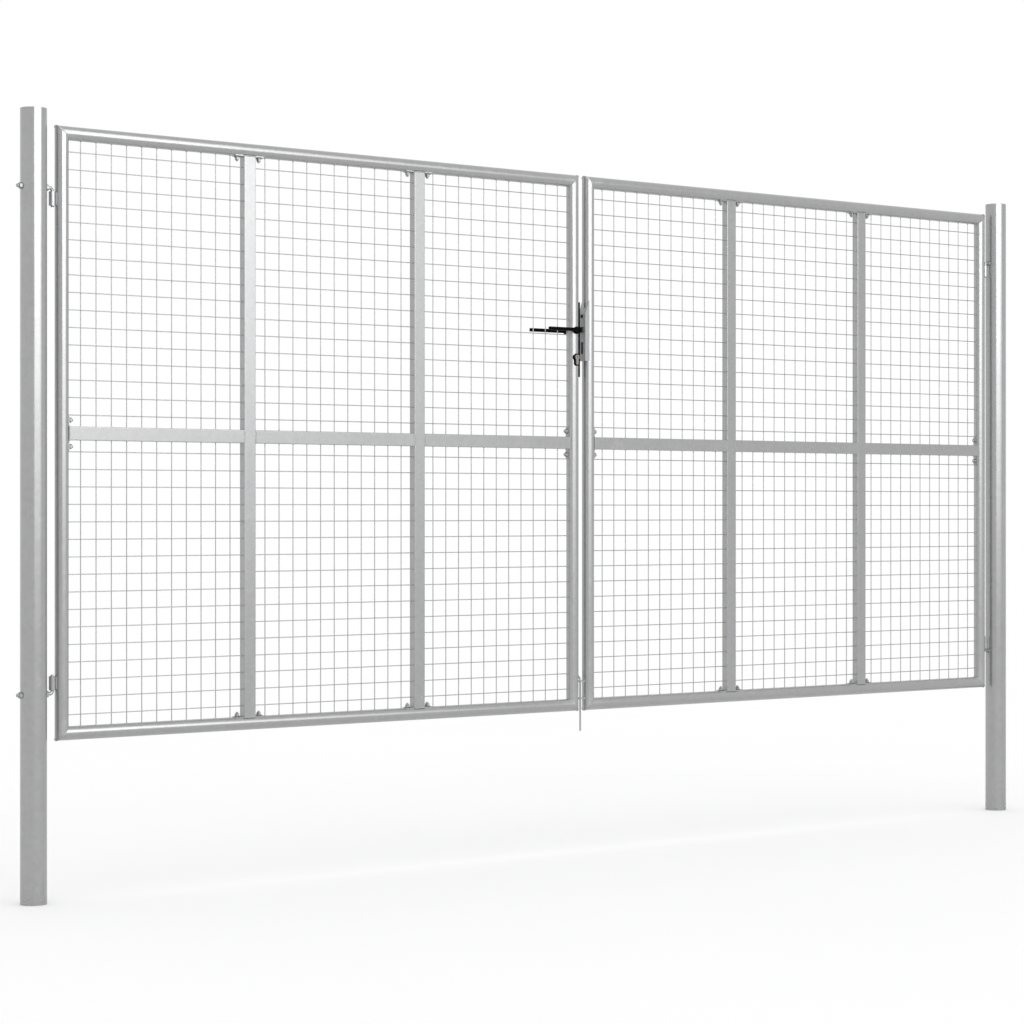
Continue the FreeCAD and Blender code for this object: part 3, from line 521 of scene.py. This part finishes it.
# ---------------------------------------------------------------- leaves
STUD_R, STUD_PITCH, STUD_THREAD_DEEP, STUD_OFFSET = 4 * MM, 1.25 * MM, 0.55 * MM, 38 * MM
STUD_ROOT, STUD_TAIL = 2.5 * MM, 15 * MM
BAR_HALF, BAR_DEEP, SADDLE = 20 * MM, 13.5 * MM, 2.5 * MM
WIRE_PITCH, WIRE_MARGIN, WIRE_OFFSET = 50 * MM, 30 * MM, 1.25 * MM
BARREL_WELD, BARREL_WELD_HALF_GAP = 36 * MM, 4.6 * MM


def make_studs(leaf, sign):
    """The threaded studs that stand on the frame tubes beside the bar ends."""
    pile = Pile()
    places = []
    for x in mullion_x:
        for side in (-1, 1):
            places.append((Vector((sign * x + side * STUD_OFFSET, 0, rail_z[1])), -UP))
            places.append((Vector((sign * x + side * STUD_OFFSET, 0, rail_z[0])), UP))
    for side in (-1, 1):
        z = mid_z + side * STUD_OFFSET
        places.append((Vector((sign * hinge_x, 0, z)), EAST * -sign))
        places.append((Vector((sign * meeting_x, 0, z)), EAST * sign))
    for at, way in places:
        root, tip = at + way * (tube_r - STUD_ROOT), at + way * (tube_r + STUD_TAIL)
        path = run_of_points(root, tip, STUD_PITCH / 5)
        whole = (0.0, (tip - root).length + STUD_PITCH)
        helix_rod(pile, path, STUD_R - 0.01 * MM, [whole], STUD_PITCH, STUD_THREAD_DEEP, count=12)
    node = f"{leaf}_frame_studs"
    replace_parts(pile.piece(f"{node}_threaded", HARDWARE, f"{leaf}_leaf"), node)


def mitre_bead(pile, x, z, out_x, out_z, seed):
    """The weld round a frame corner, on the ellipse where the two tubes meet."""
    count = 150
    path, normals = [], []
    for i in range(count):
        a = 2 * math.pi * i / count
        lean = Vector((out_x, 0, out_z)) * math.cos(a) + BACK * math.sin(a)
        path.append(Vector((x, 0, z)) + lean * tube_r)
        normals.append(lean.normalized())
    bead(pile, path, normals, 1.8 * MM, 0.15 * MM, True, seed)


def coped_bead(pile, centre, along, across, seed, radius=1.5 * MM):
    """The fillet weld round the end of a bar where it stands on a curved saddle plate. The bar
    runs along one way, its face lies across another, and the saddle curves round the tube."""
    reach = tube_r + SADDLE
    corners = [(-BAR_HALF, -BAR_DEEP), (BAR_HALF, -BAR_DEEP), (BAR_HALF, BAR_DEEP), (-BAR_HALF, BAR_DEEP)]
    path, normals = [], []
    for k, (a, b) in enumerate(zip(corners, corners[1:] + corners[:1])):
        steps = max(2, int(math.dist(a, b) / (1.2 * MM)))
        out = (across * (b[1] - a[1]) - BACK * (b[0] - a[0])).normalized()
        for i in range(steps):
            u = a[0] + (b[0] - a[0]) * i / steps
            v = a[1] + (b[1] - a[1]) * i / steps
            rise = math.sqrt(max(reach ** 2 - v ** 2, 0.0))
            path.append(centre + across * u + BACK * v + along * rise)
            normals.append(out)
    bead(pile, path, normals, radius * 1.25, radius, True, seed)


def flush_bead(pile, x, y, seed):
    """The ground-down weld across a bar joint: a low, wide upright line on one face."""
    reach = BAR_HALF - 2 * MM
    path = run_of_points(Vector((x, y, mid_z - reach)), Vector((x, y, mid_z + reach)), 1 * MM)
    normal = BACK if y > 0 else -BACK
    bead(pile, path, [normal] * len(path), 2.4 * MM, 0.28 * MM, False, seed)


def upright_bead(pile, x, y, z0, z1, normal, seed, size=1.6 * MM):
    """A fillet weld that runs straight up, as beside a hinge barrel."""
    path = run_of_points(Vector((x, y, z0)), Vector((x, y, z1)), 1 * MM)
    bead(pile, path, [normal] * len(path), size * 1.2, size, False, seed)


def make_frame_welds(leaf, sign):
    """All the weld beads of one leaf: frame corners, bar ends, bar joints and hinge barrels."""
    pile = Pile()
    seed = 11 if sign < 0 else 57
    for x, out_x in ((sign * hinge_x, sign), (sign * meeting_x, -sign)):
        for z, out_z in ((rail_z[0], -1), (rail_z[1], 1)):
            seed += 1
            mitre_bead(pile, x, z, out_x, out_z, seed)
    for x in mullion_x:
        for z, way in ((rail_z[0], UP), (rail_z[1], -UP)):
            seed += 1
            coped_bead(pile, Vector((sign * x, 0, z)), way, EAST, seed)
        for side in (-1, 1):
            for y in (-BAR_DEEP, BAR_DEEP):
                seed += 1
                flush_bead(pile, sign * x + side * BAR_HALF, y, seed)
    for x, way in ((sign * hinge_x, EAST * -sign), (sign * meeting_x, EAST * sign)):
        seed += 1
        coped_bead(pile, Vector((x, 0, mid_z)), way, UP, seed)
    low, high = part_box(f"{leaf}_hinge_barrels")
    edge = sign * (hinge_x + tube_r)
    for z0 in (low.z + 2 * MM, high.z - 2 * MM - BARREL_WELD):
        for side in (-1, 1):
            seed += 1
            normal = Vector((sign, side * 1.2, 0)).normalized()
            upright_bead(pile, edge - sign * 0.5 * MM, side * BARREL_WELD_HALF_GAP, z0,
                         z0 + BARREL_WELD, normal, seed)
    pile.piece(f"{leaf}_frame_welds", WELD, f"{leaf}_leaf")


def wire_places(low, high):
    """Where the wires of a panel lie between two edges, centred and at least a margin from each."""
    count = int((high - low - 2 * WIRE_MARGIN) // WIRE_PITCH) + 1
    first = (low + high) / 2 - (count - 1) * WIRE_PITCH / 2
    return [first + i * WIRE_PITCH for i in range(count)]


def make_wire_welds(leaf, sign):
    """Resistance-weld nuggets where wires cross, and drops where they end on tubes and bars."""
    rng = random.Random(5 if sign < 0 else 6)
    pile = Pile()
    outer, inner = mullion_x
    bays = [(hinge_x - tube_r, outer + BAR_HALF), (outer - BAR_HALF, inner + BAR_HALF),
            (inner - BAR_HALF, meeting_x + tube_r)]
    rows = [(mid_z + BAR_HALF, rail_z[1] - tube_r), (rail_z[0] + tube_r, mid_z - BAR_HALF)]
    for far, near in bays:
        for low, high in rows:
            xs = [sign * x for x in wire_places(near, far)]
            zs = wire_places(low, high)
            for x in xs:
                for z in zs:
                    blob(pile, Vector((x, 0, z)), (2.0 * MM, 1.7 * MM, 2.0 * MM), rng)
                for z in (low, high):
                    blob(pile, Vector((x, WIRE_OFFSET, z)), (2.6 * MM, 2.3 * MM, 1.9 * MM), rng)
            for z in zs:
                for x in (sign * near, sign * far):
                    blob(pile, Vector((x, -WIRE_OFFSET, z)), (1.9 * MM, 2.3 * MM, 2.6 * MM), rng)
    pile.piece(f"{leaf}_wire_welds", WIRE_ZINC, f"{leaf}_leaf")


for leaf, sign in (("left", -1), ("right", 1)):
    make_studs(leaf, sign)
    make_frame_welds(leaf, sign)
    make_wire_welds(leaf, sign)


def make_lug_welds():
    """Fillets round the drop bolt's two lugs, where they stand on the right meeting stile."""
    pile = Pile()
    low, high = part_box("drop_bolt_guides")
    thick, half, steps = 5 * MM, 8 * MM, 14
    for k, z in enumerate((low.z + thick / 2, high.z - thick / 2)):
        for side in (-1, 1):
            path, normals = [], []
            for i in range(steps + 1):
                y = -half + 2 * half * i / steps
                x = meeting_x - math.sqrt(tube_r ** 2 - y ** 2)
                path.append(Vector((x, y, z + side * thick / 2)))
                normals.append(Vector((-1, 0, side)).normalized())
            bead(pile, path, normals, 1.5 * MM, 1.2 * MM, False, 300 + 2 * k + side)
    pile.piece("drop_bolt_lug_welds", WELD, "right_leaf")


make_lug_welds()


# ---------------------------------------------------------------- floor and light
FLOOR_HALF = 60.0
WALL_Y, WALL_HALF, WALL_TOP, WALL_GLOW = -8.0, 9.0, 27.0, 5.6


def make_sheet(name, corners):
    """A flat four-cornered object at the given points."""
    mesh = bpy.data.meshes.new(name)
    mesh.from_pydata(corners, [], [(0, 1, 2, 3)])
    sheet = bpy.data.objects.new(name, mesh)
    bpy.context.scene.collection.objects.link(sheet)
    return sheet


def make_floor():
    """A pale, nearly white floor, wide enough to have no visible edge."""
    h = FLOOR_HALF
    floor = make_sheet("floor", [(-h, -h, 0), (h, -h, 0), (h, h, 0), (-h, h, 0)])
    n, place, shader, material = new_material("floor_white", 0.0, 0.2)
    cloud = n.noise(place, 0.8, 3.0)
    n.join(n.mix(cloud, grey(0.94), grey(0.96)), shader.inputs["Base Color"])
    n.join(n.math("MULTIPLY_ADD", cloud, 0.1, 0.8), shader.inputs["Roughness"])
    floor.data.materials.append(material)


def make_light_wall():
    """A broad tall soft light in front of the gate, sharp at its left side, fading at the others."""
    low, high = (-WALL_HALF, WALL_Y), (WALL_HALF, WALL_Y)
    wall = make_sheet("light_wall", [(*low, WALL_TOP), (*high, WALL_TOP), (*high, 0), (*low, 0)])
    n, place, _, material = new_material("light_wall", 0.0)
    split = n.add("ShaderNodeSeparateXYZ")
    n.join(place, split.inputs[0])
    x, _, z = split.outputs
    across = n.math("MULTIPLY", n.range(x, -5.2, -4.6), n.range(x, 0.8, 7.4, 1.0, 0.0))
    upward = n.math("MULTIPLY", n.range(z, 0.0, 4.0), n.range(z, 11.0, 25.0, 1.0, 0.0))
    glow = n.add("ShaderNodeEmission")
    n.join(n.math("MULTIPLY", n.math("MULTIPLY", across, upward), WALL_GLOW), glow.inputs["Strength"])
    clear = n.add("ShaderNodeBsdfTransparent")
    lit = n.add("ShaderNodeAddShader")
    n.join(glow.outputs[0], lit.inputs[0])
    n.join(clear.outputs[0], lit.inputs[1])
    n.join(lit.outputs[0], material.node_tree.nodes["Material Output"].inputs["Surface"])
    wall.data.materials.append(material)
    wall.visible_camera = False
    wall.visible_diffuse = False
    wall.visible_shadow = False


def make_studio():
    """A plain white room round the gate."""
    world = bpy.data.worlds.new("studio")
    bpy.context.scene.world = world
    world.use_nodes = True
    n = Nodes(world.node_tree)
    seen = n.add("ShaderNodeLightPath").outputs["Is Camera Ray"]
    background = world.node_tree.nodes["Background"]
    background.inputs["Color"].default_value = (1.0, 1.0, 1.0, 1.0)
    n.join(n.math("MULTIPLY_ADD", seen, -0.05, 1.05), background.inputs["Strength"])


make_light_wall()
make_floor()
make_studio()
